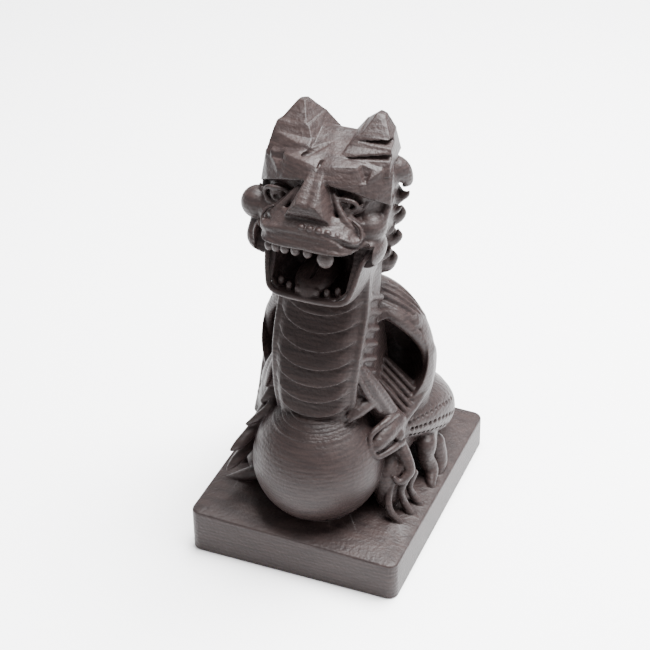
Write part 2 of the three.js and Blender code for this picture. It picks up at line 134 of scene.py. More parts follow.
def smooth_path(stations: Sequence[Sequence[float]], steps: int) -> np.ndarray:
    """Places on a smooth curve through the stations.

    Args:
        stations: Rows of equal length, such as x, y, z and radius.
        steps: Number of short stretches between two stations.

    Returns:
        One row for each place, the last station included.
    """
    rows = np.array(stations, float)
    padded = np.vstack([2 * rows[0] - rows[1], rows, 2 * rows[-1] - rows[-2]])
    share = np.linspace(0, 1, steps, endpoint=False)[:, None]
    stretches = []
    for a, b, c, d in zip(padded, padded[1:], padded[2:], padded[3:]):
        stretches.append(
            0.5 * (2 * b + (c - a) * share + (2 * a - 5 * b + 4 * c - d) * share**2
                   + (3 * b - a - 3 * c + d) * share**3)
        )
    return np.vstack([*stretches, rows[-1:]])


@dataclass
class Limb(Shape):
    """A round bar of changing thickness along a smooth curve of x, y, z, radius stations."""

    stations: Sequence[Station]
    steps: int = 5
    thin_along: Place = (0.0, 0.0, 0.0)
    thinness: float = 1.0

    def path(self) -> np.ndarray:
        """The curve's places and radii."""
        rows = smooth_path(self.stations, self.steps)
        rows[:, 3] = np.maximum(rows[:, 3], 0.08)
        return rows

    def reach(self) -> tuple[np.ndarray, np.ndarray]:
        """Lowest and highest corner."""
        rows = self.path()
        return (rows[:, :3] - rows[:, 3:]).min(0), (rows[:, :3] + rows[:, 3:]).max(0)

    def distance(self, window: Window) -> np.ndarray:
        """Distance from the nearest stretch of the bar."""
        rows = self.path().astype(np.float32)
        stretch = np.eye(3, dtype=np.float32)
        if self.thinness != 1.0:
            way = np.array(self.thin_along, np.float32)
            way /= np.linalg.norm(way)
            stretch += np.float32(self.thinness - 1) * np.outer(way, way)
        axes = [window.axis(i) for i in range(3)]
        spots = [sum(stretch[r, i] * axes[i] for i in range(3)) for r in range(3)]
        places = rows[:, :3] @ stretch.T
        nearest = np.full(window.count, 1e3, np.float32)
        for start, end, thick, thin in zip(places, places[1:], rows[:, 3], rows[1:, 3]):
            along = end - start
            length = max(float(along @ along), 1e-9)
            offset = [spots[i] - start[i] for i in range(3)]
            share = sum(offset[i] * along[i] for i in range(3)) / np.float32(length)
            share = np.clip(share, 0, 1)
            gap = np.sqrt(sum((offset[i] - share * along[i]) ** 2 for i in range(3)))
            np.minimum(nearest, gap - (thick + (thin - thick) * share), out=nearest)
        return nearest


@dataclass
class Facets(Shape):
    """The flat-faced body stretched over a few corners, as left by a chisel."""

    corners: Sequence[Place]
    round_off: float = 0.0

    def planes(self) -> list[tuple[np.ndarray, float]]:
        """Outward unit normal and offset of every face."""
        spots = np.array(self.corners, float)
        found: list[tuple[np.ndarray, float]] = []
        for a, b, c in itertools.combinations(spots, 3):
            normal = np.cross(b - a, c - a)
            if np.linalg.norm(normal) < 1e-6:
                continue
            normal /= np.linalg.norm(normal)
            sides = (spots - a) @ normal
            if sides.max() > 1e-4 and sides.min() < -1e-4:
                continue
            if sides.max() > 1e-4:
                normal = -normal
            if not any(normal @ other > 0.9999 for other, _ in found):
                found.append((normal, float(normal @ a)))
        return found

    def reach(self) -> tuple[np.ndarray, np.ndarray]:
        """Lowest and highest corner."""
        spots = np.array(self.corners, float)
        return spots.min(0) - self.round_off, spots.max(0) + self.round_off

    def distance(self, window: Window) -> np.ndarray:
        """Distance from the outermost face."""
        axes = [window.axis(i) for i in range(3)]
        outermost = None
        for normal, offset in self.planes():
            side = sum(np.float32(normal[i]) * axes[i] for i in range(3)) - np.float32(offset)
            outermost = side if outermost is None else np.maximum(outermost, side)
        return outermost - np.float32(self.round_off)


@dataclass
class Skin(Shape):
    """A closed skin over equal rings of points, with a flat end over the first and the last."""

    rings: np.ndarray

    def reach(self) -> tuple[np.ndarray, np.ndarray]:
        """Lowest and highest corner."""
        spots = self.rings.reshape(-1, 3)
        return spots.min(0), spots.max(0)

    def faces(self) -> np.ndarray:
        """Triangles over the rings and the two end fans."""
        levels, around = self.rings.shape[:2]
        first = np.arange(around)
        after = (first + 1) % around
        made = []
        for level in range(levels - 1):
            low, high = level * around, (level + 1) * around
            made.append(np.stack([low + first, low + after, high + after], 1))
            made.append(np.stack([low + first, high + after, high + first], 1))
        last = (levels - 1) * around
        ends = levels * around
        made.append(np.stack([np.full(around, ends), after, first], 1))
        made.append(np.stack([np.full(around, ends + 1), last + first, last + after], 1))
        return np.vstack(made)

    def distance(self, window: Window) -> np.ndarray:
        """Distance as measured near the skin, and a full band further away."""
        centres = [self.rings[0].mean(0), self.rings[-1].mean(0)]
        spots = np.vstack([self.rings.reshape(-1, 3), *centres])
        faces = self.faces()
        a, b, c = spots[faces[:, 0]], spots[faces[:, 1]], spots[faces[:, 2]]
        if (a * np.cross(b, c)).sum() < 0:
            faces = faces[:, ::-1]
        grid = openvdb.FloatGrid.createLevelSetFromPolygons(
            spots.astype(np.float32),
            triangles=np.ascontiguousarray(faces, np.uint32),
            transform=openvdb.createLinearTransform(voxelSize=window.pitch),
            halfWidth=WoodBlock.BAND / window.pitch,
        )
        out = np.empty(window.count, np.float32)
        grid.copyToArray(out, ijk=window.first)
        return out


@dataclass
class WoodBlock:
    """The wood as a field of distances from its surface, which bodies are added to and cut from."""

    BAND = 0.9

    low: Place
    high: Place
    pitch: float
    depths: np.ndarray = field(init=False)
    start: np.ndarray = field(init=False)

    def __post_init__(self) -> None:
        """Starts the block as empty air."""
        self.start = np.floor(np.array(self.low) / self.pitch).astype(int)
        end = np.ceil(np.array(self.high) / self.pitch).astype(int)
        self.depths = np.full(tuple(end - self.start), self.BAND, np.float32)

    def window_of(self, shape: Shape, margin: float) -> Window | None:
        """The cells a shape can change, or None if it lies outside the block."""
        low, high = shape.reach()
        first = np.floor((low - margin) / self.pitch).astype(int)
        last = np.ceil((high + margin) / self.pitch).astype(int) + 1
        first = np.maximum(first, self.start)
        last = np.minimum(last, self.start + self.depths.shape)
        if (last <= first).any():
            return None
        return Window(tuple(map(int, first)), tuple(map(int, last - first)), self.pitch)

    def part(self, window: Window) -> np.ndarray:
        """The stretch of the field that lies in a window."""
        inside = [slice(f - s, f - s + n) for f, s, n in zip(window.first, self.start, window.count)]
        return self.depths[tuple(inside)]

    def add(self, *shapes: Shape, blend: float = 0.3) -> None:
        """Joins shapes to the wood, filling the corner between them over the blend length."""
        for shape in shapes:
            window = self.window_of(shape, max(blend, 2 * self.pitch))
            if window is not None:
                wood = self.part(window)
                wood[...] = softest(wood, shape.distance(window), blend)

    def cut(self, *shapes: Shape, blend: float = 0.08) -> None:
        """Takes shapes away from the wood, with edges as crisp as the blend is short."""
        for shape in shapes:
            window = self.window_of(shape, max(blend, 2 * self.pitch))
            if window is not None:
                wood = self.part(window)
                wood[...] = -softest(-wood, shape.distance(window), blend)

    def surface(self) -> tuple[np.ndarray, np.ndarray]:
        """Vertices in millimetres and four-cornered faces of the wood's surface."""
        grid = openvdb.FloatGrid(self.BAND)
        grid.transform = openvdb.createLinearTransform(voxelSize=self.pitch)
        near = np.clip(self.depths, -self.BAND, self.BAND)
        grid.copyFromArray(near, ijk=tuple(map(int, self.start)), tolerance=0.0)
        spots, _, quads = grid.convertToPolygons(isovalue=0.0, adaptivity=0.0)
        return spots, quads[:, ::-1]


def softest(one: np.ndarray, other: np.ndarray, blend: float) -> np.ndarray:
    """The lower of two distances, rounded where they are within the blend length."""
    if blend <= 0:
        return np.minimum(one, other)
    share = np.clip(0.5 + 0.5 * (other - one) / np.float32(blend), 0, 1)
    return other + (one - other) * share - np.float32(blend) * share * (1 - share)


def mirrored(places: Iterable[Sequence[float]]) -> list[tuple[float, ...]]:
    """The same places on the other side of the dragon."""
    return [(-row[0], *row[1:]) for row in places]


def both_sides(stations: Sequence[Station], **options) -> list[Limb]:
    """A limb and its mirror image."""
    return [Limb(stations, **options), Limb(mirrored(stations), **options)]


def lump_on_both_sides(at: Place, radii: Place) -> list[Lump]:
    """A lump and its mirror image."""
    return [Lump(at, radii), Lump((-at[0], at[1], at[2]), radii)]


def facets_on_both_sides(corners: Sequence[Place], round_off: float = 0.0) -> list[Facets]:
    """A flat-faced body and its mirror image."""
    return [Facets(corners, round_off), Facets(mirrored(corners), round_off)]


def between(rows: Sequence[Sequence[float]], value: float) -> np.ndarray:
    """The straight-line reading of a table whose first column rises."""
    table = np.array(rows, float)
    return np.array([np.interp(value, table[:, 0], column) for column in table.T])


# ------------------------------------------------------------------ plinth and ball


@dataclass
class Plinth(Shape):
    """The low rectangular plinth; its top slopes a little and is hipped towards the carving."""

    width: float = 30.0
    length: float = 37.2
    corner: float = 1.4
    middle_height: float = 5.8
    rise_left: float = 0.45
    rise_front: float = 0.45
    hip_inset: float = 3.6
    hip_rise: float = 0.45
    ease: float = 0.3

    def reach(self) -> tuple[np.ndarray, np.ndarray]:
        """Lowest and highest corner."""
        half = np.array([self.width / 2, self.length / 2, 0])
        top = self.middle_height + self.rise_left + self.rise_front + self.hip_rise
        return -half, half + np.array([0, 0, top])

    def distance(self, window: Window) -> np.ndarray:
        """Distance from the side walls, the hipped top and the underside."""
        x, y, z = (window.axis(i) for i in range(3))
        inward = [self.width / 2 - self.corner - abs(x), self.length / 2 - self.corner - abs(y)]
        outside = np.hypot(np.maximum(-inward[0], 0), np.maximum(-inward[1], 0))
        walls = outside - np.minimum(np.maximum(inward[0], 0), np.maximum(inward[1], 0)) - self.corner
        hip = np.clip(-walls / self.hip_inset, 0, 1) * self.hip_rise
        slope = self.rise_left * 2 * x / self.width + self.rise_front * 2 * y / self.length
        top = z - (self.middle_height - slope + hip)
        lid = -softest(-walls, -top, self.ease)
        return (-softest(-lid, z, self.ease)).astype(np.float32)

    def carve(self, block: WoodBlock) -> None:
        """Adds the plinth to the block."""
        block.add(self, blend=0)


@dataclass
class Ball(Shape):
    """The big ball; the last cutter passes left fine steps round its top."""

    at: Place = (0.3, -8.9, 13.6)
    radius: float = 8.95
    step: float = 0.3
    stepped_above: float = 20.2

    def reach(self) -> tuple[np.ndarray, np.ndarray]:
        """Lowest and highest corner."""
        return np.array(self.at) - self.radius, np.array(self.at) + self.radius

    def distance(self, window: Window) -> np.ndarray:
        """Distance from a sphere whose top is cut in level steps."""
        x, y, z = (window.axis(i) for i in range(3))
        stepped = np.floor(z / self.step) * self.step + 0.5 * self.step
        level = np.where(z > self.stepped_above, stepped, z)
        ring = (x - self.at[0]) ** 2 + (y - self.at[1]) ** 2
        return (np.sqrt(ring + (level - self.at[2]) ** 2) - self.radius).astype(np.float32)

    def carve(self, block: WoodBlock) -> None:
        """Adds the ball to the block."""
        block.add(self, blend=0.15)


# ------------------------------------------------------------------ neck


@dataclass
class Neck:
    """The upright neck with its belly plates between two raised edges."""

    # height, front of the plates, their edge, half width of plates, of flanks, and the nape
    levels: tuple[tuple[float, ...], ...] = (
        (19.0, -10.4, -8.4, 5.2, 6.8, 5.0), (23.0, -11.1, -9.2, 5.4, 6.6, 6.0),
        (26.5, -11.0, -9.2, 5.6, 6.3, 6.0), (30.0, -10.5, -8.6, 5.8, 6.2, 5.0),
        (33.0, -9.5, -7.4, 5.9, 6.1, 4.6), (36.0, -8.2, -5.9, 5.9, 6.0, 4.4),
        (39.0, -7.3, -5.0, 5.8, 6.0, 4.4), (44.0, -6.6, -4.4, 5.8, 6.2, 4.4),
    )
    plate_bottom: float = 21.4
    plate_top: float = 39.5
    plate_pitch: float = 2.35
    plate_lip: float = 1.15
    plate_sag: float = 1.6
    edge_cord: float = 0.42
    rib_count: int = 9

    def lip_at(self, z: float) -> float:
        """How far the belly plate at this height stands out: most at its lower edge."""
        if not self.plate_bottom < z < self.plate_top:
            return 0.0
        phase = ((z - self.plate_bottom) / self.plate_pitch) % 1.0
        return self.plate_lip * (phase / 0.1 if phase < 0.1 else ((1 - phase) / 0.9) ** 1.3)

    def ring(self, z: float) -> np.ndarray:
        """One level of the neck, with the plates hanging lower in the middle."""
        _, front, edge, plate, flank, nape = between(self.levels, z)
        half = []
        for share in np.linspace(0, 0.94, 12):
            bulge = front + (edge - front) * share**2.2
            half.append((plate * share, bulge, -self.plate_sag * (1 - share**2)))
        lifted = [(x, y - self.lip_at(z) * min(1.0, 4 * (0.98 - x / plate)), hang) for x, y, hang in half]
        lifted += [
            (plate * 1.0, edge, 0), (plate * 1.04, edge + 0.5, 0), (plate * 1.05, edge + 1.2, 0),
            (flank * 0.94, edge + 2.6, 0), (flank, edge + 4.8, 0), (flank * 0.9, nape - 3.0, 0),
            (flank * 0.55, nape - 0.6, 0), (0, nape, 0),
        ]
        other = [(-x, y, hang) for x, y, hang in lifted[1:-1]][::-1]
        return np.array([(x, y, z + hang) for x, y, hang in lifted + other])

    def edge_path(self, sideways: float) -> list[Station]:
        """The raised cord along one edge of the plates."""
        heights = (20.5, 23.5, 27.0, 30.0, 33.0, 36.0, 39.0, 43.0)
        rows = [between(self.levels, z) for z in heights]
        return [(sideways * row[3], row[2] + 0.1, row[0], self.edge_cord) for row in rows]

    def ribs(self, sideways: float) -> list[Limb]:
        """Slanting scale ribs down the flank behind the plates."""
        made = []
        for z in np.linspace(21.5, 37.0, self.rib_count):
            _, _, edge, plate, flank, _ = between(self.levels, z)
            made.append(Limb([
                (sideways * (plate + 0.2), edge + 0.9, z + 0.8, 0.25),
                (sideways * (flank * 0.95), edge + 2.8, z, 0.5),
                (sideways * (flank + 0.15), edge + 5.0, z - 1.3, 0.4),
            ]))
        return made

    def carve(self, block: WoodBlock) -> None:
        """Adds the neck, its plates, their raised edges and the flank ribs."""
        heights = np.arange(self.levels[0][0], self.levels[-1][0], 0.13)
        block.add(Skin(np.stack([self.ring(float(z)) for z in heights])), blend=0.3)
        for sideways in (-1.0, 1.0):
            block.add(Limb(self.edge_path(sideways), steps=4), blend=0.3)
            block.add(*self.ribs(sideways), blend=0.35)


# ------------------------------------------------------------------ head


@dataclass
class Skull:
    """The blocky head with its angular brow."""

    core: tuple[Place, ...] = (
        (5.6, -6.2, 55.8), (6.4, -6.2, 50.0), (4.4, -6.2, 45.5), (7.4, -4.0, 57.0), (7.8, -4.0, 50.5),
        (5.6, -4.0, 44.0), (6.6, 0.0, 58.4), (8.1, 0.0, 54.0), (7.4, 0.0, 47.0), (4.6, 0.0, 42.4),
        (5.4, 3.4, 57.8), (7.0, 3.4, 52.5), (4.4, 3.4, 43.2), (3.2, 6.2, 54.4), (4.2, 6.2, 50.0),
        (2.6, 6.2, 46.0), (0.0, -5.0, 57.8), (0.0, 1.0, 59.2),
    )
    brow: tuple[Place, ...] = (
        (0.5, -7.7, 56.3), (0.2, -6.5, 57.5), (2.2, -7.8, 55.9), (4.6, -7.2, 55.3), (7.2, -6.0, 54.0),
        (8.8, -4.4, 52.7), (8.6, -3.0, 56.4), (4.4, -5.6, 57.8), (1.8, -6.4, 57.8), (8.0, -0.6, 53.5),
        (7.6, -0.4, 57.4), (0.4, -2.0, 58.6), (1.2, -3.6, 55.2),
    )

    def carve(self, block: WoodBlock) -> None:
        """Adds the head block and the brow."""
        block.add(Facets([*self.core, *mirrored(self.core)], 0.15), blend=0.3)
        block.add(*facets_on_both_sides(self.brow, 0.05), blend=0.12)


@dataclass
class Ears:
    """Two chiselled, pointed ears, with the cuts left unevenly in their fronts."""

    lower: tuple[Place, ...] = (
        (1.5, -5.2, 57.3), (8.4, -3.8, 56.2), (7.4, 3.2, 56.5), (1.0, 4.2, 57.4),
        (3.4, -1.9, 60.0), (7.8, -1.4, 59.9), (6.9, 2.6, 59.8), (2.9, 3.4, 60.0),
    )
    upper: tuple[Place, ...] = (
        (3.7, -1.3, 60.0), (7.4, -0.9, 59.9), (6.9, 2.6, 59.8), (2.9, 3.4, 59.9),
        (4.9, 1.2, 62.0), (5.9, 1.4, 61.8), (5.8, 2.4, 61.7), (5.0, 2.6, 61.8),
    )
    ledge: tuple[Place, ...] = (
        (2.6, -2.6, 60.1), (9.4, -2.2, 60.0), (9.4, -1.0, 60.0), (2.9, -1.3, 60.1), (9.4, -3.2, 58.6),
        (2.2, -3.6, 58.6), (9.4, -2.1, 58.9), (2.3, -2.5, 58.9),
    )
    crown_crease: tuple[Station, ...] = (
        (-2.4, -5.0, 57.8, 0.5), (-0.2, -2.4, 59.2, 0.7), (2.2, 0.4, 60.1, 0.6),
    )
    left_notch: tuple[Place, ...] = (
        (-8.9, -5.2, 58.3), (-5.6, -5.6, 58.8), (-5.2, -6.2, 57.0), (-8.9, -5.9, 56.6),
        (-8.9, -4.0, 57.8), (-5.4, -4.2, 58.1), (-5.2, -4.8, 56.6), (-8.9, -4.3, 56.3),
    )
    right_slots: tuple[tuple[Place, ...], ...] = (
        ((3.0, -2.6, 59.3), (8.9, -2.2, 60.1), (8.9, -2.4, 59.1), (8.9, 0.3, 60.0), (5.0, -0.4, 59.6),
         (8.9, 0.2, 59.3)),
        ((1.8, -4.6, 58.0), (9.2, -3.4, 58.7), (9.2, -3.6, 57.7), (9.2, -1.4, 58.6), (4.6, -2.4, 58.2),
         (9.2, -1.6, 57.9)),
    )
    right_wedge: tuple[Place, ...] = (
        (4.2, -5.6, 58.7), (6.9, -5.0, 58.3), (5.6, -6.4, 56.2), (6.3, -6.1, 55.9), (4.9, -4.4, 57.8),
        (6.6, -3.8, 57.9), (5.8, -5.2, 55.9),
    )

    def carve(self, block: WoodBlock) -> None:
        """Adds the ears, then the stray cuts in the crown and in each ear's front."""
        block.add(*facets_on_both_sides(self.lower, 0.04), blend=0.06)
        block.cut(*facets_on_both_sides(self.ledge), blend=0.05)
        block.add(*facets_on_both_sides(self.upper, 0.06), blend=0.04)
        block.cut(Limb(self.crown_crease), blend=0.1)
        block.cut(Facets(self.left_notch), blend=0.04)
        block.cut(*[Facets(slot) for slot in self.right_slots], blend=0.05)
        block.cut(Facets(self.right_wedge), blend=0.05)


@dataclass
class Eye:
    """One round eye with an almond rim and wrinkles, sunk under the brow."""

    at: Place
    radius: float = 1.2
    rim: float = 0.3
    half_width: float = 1.9
    half_height: float = 1.2
    wrinkles: int = 2

    def rim_path(self, spread: float, thickness: float) -> list[Station]:
        """A closed almond line round the eye, larger the more it is spread."""
        made = []
        for angle in np.linspace(0, 2 * math.pi, 11):
            out = self.half_width * spread * math.cos(angle)
            lift = self.half_height * spread * math.sin(angle)
            made.append((
                self.at[0] + out, self.at[1] - 0.8 + 0.17 * out * out + 0.5 * (spread - 1),
                self.at[2] + lift - 0.1, thickness,
            ))
        return made

    def carve(self, block: WoodBlock) -> None:
        """Sinks the socket, then adds the eyeball, its rims and wrinkles, and dots the pupil."""
        x, y, z = self.at
        block.cut(Lump((x, y - 1.7, z + 0.1), (2.7, 2.4, 2.0)), blend=0.25)
        block.add(Lump(self.at, (self.radius,) * 3), blend=0.1)
        block.add(Limb(self.rim_path(1.0, self.rim), steps=2), blend=0.2)
        for ring in range(self.wrinkles):
            lower = self.rim_path(1.3 + 0.3 * ring, self.rim * 0.7)[5:]
            block.add(Limb(lower, steps=3), blend=0.2)
        block.cut(Lump((x + 0.1, y - self.radius, z - 0.1), (0.5, 0.45, 0.45)), blend=0.1)


@dataclass
class Nose:
    """The broad ridged nose with a groove down its middle."""

    half: tuple[Place, ...] = (
        (0.7, -6.8, 57.1), (1.1, -8.8, 55.9), (1.2, -11.0, 54.3), (2.2, -11.0, 53.2), (2.9, -10.4, 52.1),
        (2.7, -9.8, 51.5), (3.0, -7.0, 52.6), (1.8, -5.0, 55.2), (1.0, -5.0, 57.0), (3.0, -5.5, 51.8),
    )
    groove: tuple[Station, ...] = (
        (0.0, -7.6, 57.2, 0.22), (0.0, -9.6, 55.9, 0.4), (0.0, -11.5, 54.4, 0.45), (0.0, -11.9, 52.9, 0.4),
    )
    folds: tuple[tuple[Station, ...], ...] = (
        ((2.4, -7.4, 54.6, 0.3), (3.6, -8.4, 52.9, 0.45), (5.0, -8.8, 51.4, 0.4), (6.2, -8.2, 50.4, 0.3)),
        ((3.4, -7.0, 53.6, 0.25), (4.6, -7.7, 52.0, 0.4), (6.0, -7.4, 50.9, 0.3)),
    )

    def carve(self, block: WoodBlock) -> None:
        """Adds the nose and the cheek folds, and cuts the groove and the nostrils."""
        block.add(Facets([*self.half, *mirrored(self.half)], 0.12), blend=0.3)
        block.cut(Limb(self.groove), blend=0.35)
        for fold in self.folds:
            block.add(*both_sides(fold), blend=0.4)
        block.cut(*lump_on_both_sides((1.5, -10.7, 51.6), (0.85, 0.9, 0.75)), blend=0.2)


@dataclass
class UpperJaw:
    """The square muzzle with its rolled, drooping lip and the teeth below it."""

    # height, front and half width
    levels: tuple[tuple[float, ...], ...] = (
        (48.3, -11.6, 6.0), (48.9, -12.2, 6.5), (50.3, -12.4, 6.6), (51.6, -11.7, 6.3), (53.0, -9.6, 5.6),
    )
    droop: float = 1.5
    back: float = -3.0
    bead: float = 0.62
    beads: tuple[float, ...] = (-5.2, -4.0, -2.6, -1.1, 0.6)
    fang: Place = (2.9, -11.7, 47.75)
    frown: tuple[Station, ...] = (
        (-6.6, -8.4, 50.2, 0.3), (-4.6, -11.0, 51.3, 0.34), (-2.0, -12.0, 51.9, 0.34),
        (1.0, -12.2, 51.7, 0.36), (3.8, -11.9, 50.9, 0.38), (5.9, -10.6, 49.6, 0.36), (7.2, -8.4, 48.6, 0.3),
    )
    bumps: tuple[float, ...] = (-0.2, 0.9, 2.0, 3.1, 4.2, 5.2)

    def lip_line(self, z: float, y: float, radius: float, half: float = 6.5) -> list[Station]:
        """A line that follows the lip round the muzzle at one height."""
        spread = [(-1.02, 3.6), (-0.97, 1.5), (-0.72, 0.45), (-0.36, 0.05), (0.0, 0.0)]
        spread += [(-share, back) for share, back in spread[-2::-1]]
        return [(half * s, y + back, z - self.droop * s * s, radius) for s, back in spread]

    def ring(self, row: Sequence[float], droop: float) -> np.ndarray:
        """One level, square at the front with rounded corners."""
        z, front, half = row
        right = [
            (0.0, front), (half * 0.3, front + 0.04), (half * 0.55, front + 0.22), (half * 0.78, front + 0.7),
            (half * 0.92, front + 1.5), (half * 0.99, front + 2.6), (half * 1.02, front + 4.2),
            (half * 1.05, self.back),
        ]
        left = [(-x, y) for x, y in right[1:]][::-1]
        return np.array([(x, y, z - droop * (x / half) ** 2) for x, y in right + left])

    def carve(self, block: WoodBlock) -> None:
        """Adds the muzzle and its lips, and cuts the line between them."""
        heights = np.linspace(self.levels[0][0], self.levels[-1][0], 18)
        rows = [between(self.levels, float(z)) for z in heights]
        block.add(Skin(np.stack([self.ring(row, self.droop) for row in rows])), blend=0.3)
        block.add(Limb(self.lip_line(49.3, -12.1, 0.72)), blend=0.25)
        block.add(Limb(self.lip_line(51.15, -11.6, 0.5, 6.2)), blend=0.25)
        block.cut(Limb(self.lip_line(50.35, -12.75, 0.34, 6.75)), blend=0.12)
        block.cut(Limb(self.frown), blend=0.15)
        for x in self.bumps:
            place = (x, -11.75 + 0.05 * x * x, 51.75 - 0.045 * x * x)
            block.add(Lump(place, (0.42, 0.42, 0.36)), blend=0.1)

    def add_teeth(self, block: WoodBlock) -> None:
        """Hangs the small teeth and the one long fang under the lip."""
        for x in self.beads:
            z = self.levels[0][0] - self.droop * (x / 6.5) ** 2
            y = -11.9 + 0.05 * x * x
            block.add(Lump((x, y, z), (self.bead, self.bead, self.bead * 1.35)), blend=0.1)
        block.add(Lump(self.fang, (1.1, 0.95, 1.3)), blend=0.1)


@dataclass
class LowerJaw:
    """The trough-like lower jaw with a thin rim, the tongue and the row of small teeth."""

    # height, front and half width
    levels: tuple[tuple[float, ...], ...] = (
        (38.8, -9.4, 4.6), (39.9, -11.1, 5.4), (41.4, -11.6, 5.9), (44.0, -11.4, 6.3), (47.6, -10.4, 6.9),
    )
    # how far forward, half width, floor and roof of the mouth
    mouth: tuple[tuple[float, ...], ...] = (
        (-14.0, 5.0, 41.5, 49.0), (-10.8, 5.0, 41.1, 49.0), (-8.0, 5.2, 40.7, 48.8), (-4.6, 4.4, 41.2, 47.8),
        (-2.4, 2.8, 43.0, 46.4),
    )
    sides: tuple[Place, ...] = (
        (-8.0, -14.0, 40.9), (-8.0, -14.0, 49.0), (-8.0, -8.0, 48.4), (-8.0, -7.0, 47.2), (-8.0, -9.1, 45.4),
        (-8.0, -11.2, 41.3),
    )
    rim: tuple[Station, ...] = (
        (-6.9, -6.6, 47.3, 0.32), (-6.3, -8.7, 45.6, 0.35), (-5.7, -10.3, 42.8, 0.36),
        (-4.9, -11.2, 41.3, 0.38), (-2.6, -11.6, 40.9, 0.38), (2.8, -11.6, 40.9, 0.38),
        (5.1, -11.2, 41.3, 0.38), (5.9, -10.3, 42.8, 0.36),
        (6.5, -8.7, 45.6, 0.35), (7.2, -7.2, 47.2, 0.32), (7.9, -5.6, 49.4, 0.3), (8.5, -3.8, 52.0, 0.3),
    )
    tongue: tuple[Station, ...] = (
        (0.0, -3.4, 41.6, 2.5), (0.0, -6.4, 42.0, 2.7), (0.0, -8.8, 41.9, 2.4), (0.0, -10.4, 41.2, 1.3),
    )

    def mouth_ring(self, row: Sequence[float]) -> np.ndarray:
        """The outline of the mouth at one distance from the front."""
        y, half, floor, roof = row
        outline = [
            (-half, roof - 1.5), (-half * 0.6, roof - 0.3), (0, roof), (half * 0.6, roof - 0.3),
            (half, roof - 1.5), (half, floor + 1.2), (half * 0.8, floor + 0.2), (0, floor),
            (-half * 0.8, floor + 0.2), (-half, floor + 1.2),
        ]
        return np.array([(x, y, z) for x, z in outline])

    def carve(self, block: WoodBlock) -> None:
        """Adds the jaw, opens the mouth and parts the jaws at the sides."""
        lips = UpperJaw(back=-2.0)
        heights = np.linspace(self.levels[0][0], self.levels[-1][0], 24)
        rows = [between(self.levels, float(z)) for z in heights]
        block.add(Skin(np.stack([lips.ring(row, 0.0) for row in rows])), blend=0.2)
        block.cut(Skin(np.stack([self.mouth_ring(row) for row in self.mouth])), blend=0.15)
        wedge = [*self.sides, *mirrored(self.sides)]
        block.cut(Facets(wedge), blend=0.1)
        block.add(Limb(self.rim), blend=0.15)

    def add_tongue(self, block: WoodBlock) -> None:
        """Lays the grooved tongue in the jaw, with low teeth round it."""
        block.add(Limb(self.tongue, thin_along=(0, 0, 1), thinness=2.2), blend=0.2)
        block.cut(Limb([(0, -4.0, 43.3, 0.3), (0, -8.0, 43.2, 0.35), (0, -10.8, 42.0, 0.2)]), blend=0.2)
        for x in (-3.9, -2.6, -1.3, 0.0, 1.3, 2.6, 3.9):
            y = -11.0 + 0.06 * x * x
            block.add(Lump((x, y, 41.6 + 0.02 * x * x), (0.42, 0.42, 0.7)), blend=0.1)


@dataclass
class Cheeks:
    """The round cheek ball, the jowls, the side ridges and the curls at the mouth's corners."""

    ball: Place = (-9.0, -5.2, 49.8)
    ball_radii: Place = (2.2, 2.2, 2.2)
    jowl: tuple[Place, Place] = ((6.9, -6.4, 47.0), (1.9, 3.3, 2.2))
    cheekbone: tuple[Place, Place] = ((6.8, -5.4, 49.8), (1.9, 2.4, 2.0))
    left_fold: tuple[Station, ...] = (
        (-8.6, -6.2, 47.4, 1.1), (-8.3, -7.4, 46.0, 1.3), (-7.0, -8.6, 45.4, 0.8),
    )
    ridge: tuple[Station, ...] = (
        (8.5, -3.4, 53.2, 0.5), (8.0, -4.8, 50.6, 0.55), (7.5, -6.6, 48.2, 0.5), (6.8, -8.6, 46.8, 0.45),
    )
    corner_curl: tuple[Station, ...] = (
        (5.4, -8.5, 51.9, 0.18), (6.4, -8.7, 51.2, 0.22), (6.7, -9.3, 50.0, 0.22), (6.0, -10.1, 49.6, 0.18),
    )
    whisker: tuple[Station, ...] = (
        (4.6, -7.7, 52.2, 0.15), (5.1, -9.0, 51.0, 0.2), (5.3, -10.5, 49.9, 0.2), (4.8, -11.6, 49.5, 0.15),
    )

    def carve(self, block: WoodBlock) -> None:
        """Adds the cheeks."""
        block.add(*lump_on_both_sides(*self.jowl), blend=0.5)
        block.add(*lump_on_both_sides(*self.cheekbone), blend=0.5)
        block.add(Lump(self.ball, self.ball_radii), blend=0.12)
        block.add(Limb(self.left_fold), blend=0.2)
        block.add(*both_sides(self.ridge), blend=0.25)
        block.add(*both_sides(self.corner_curl), blend=0.15)
        block.add(*both_sides(self.whisker), blend=0.15)


# ------------------------------------------------------------------ body and limbs


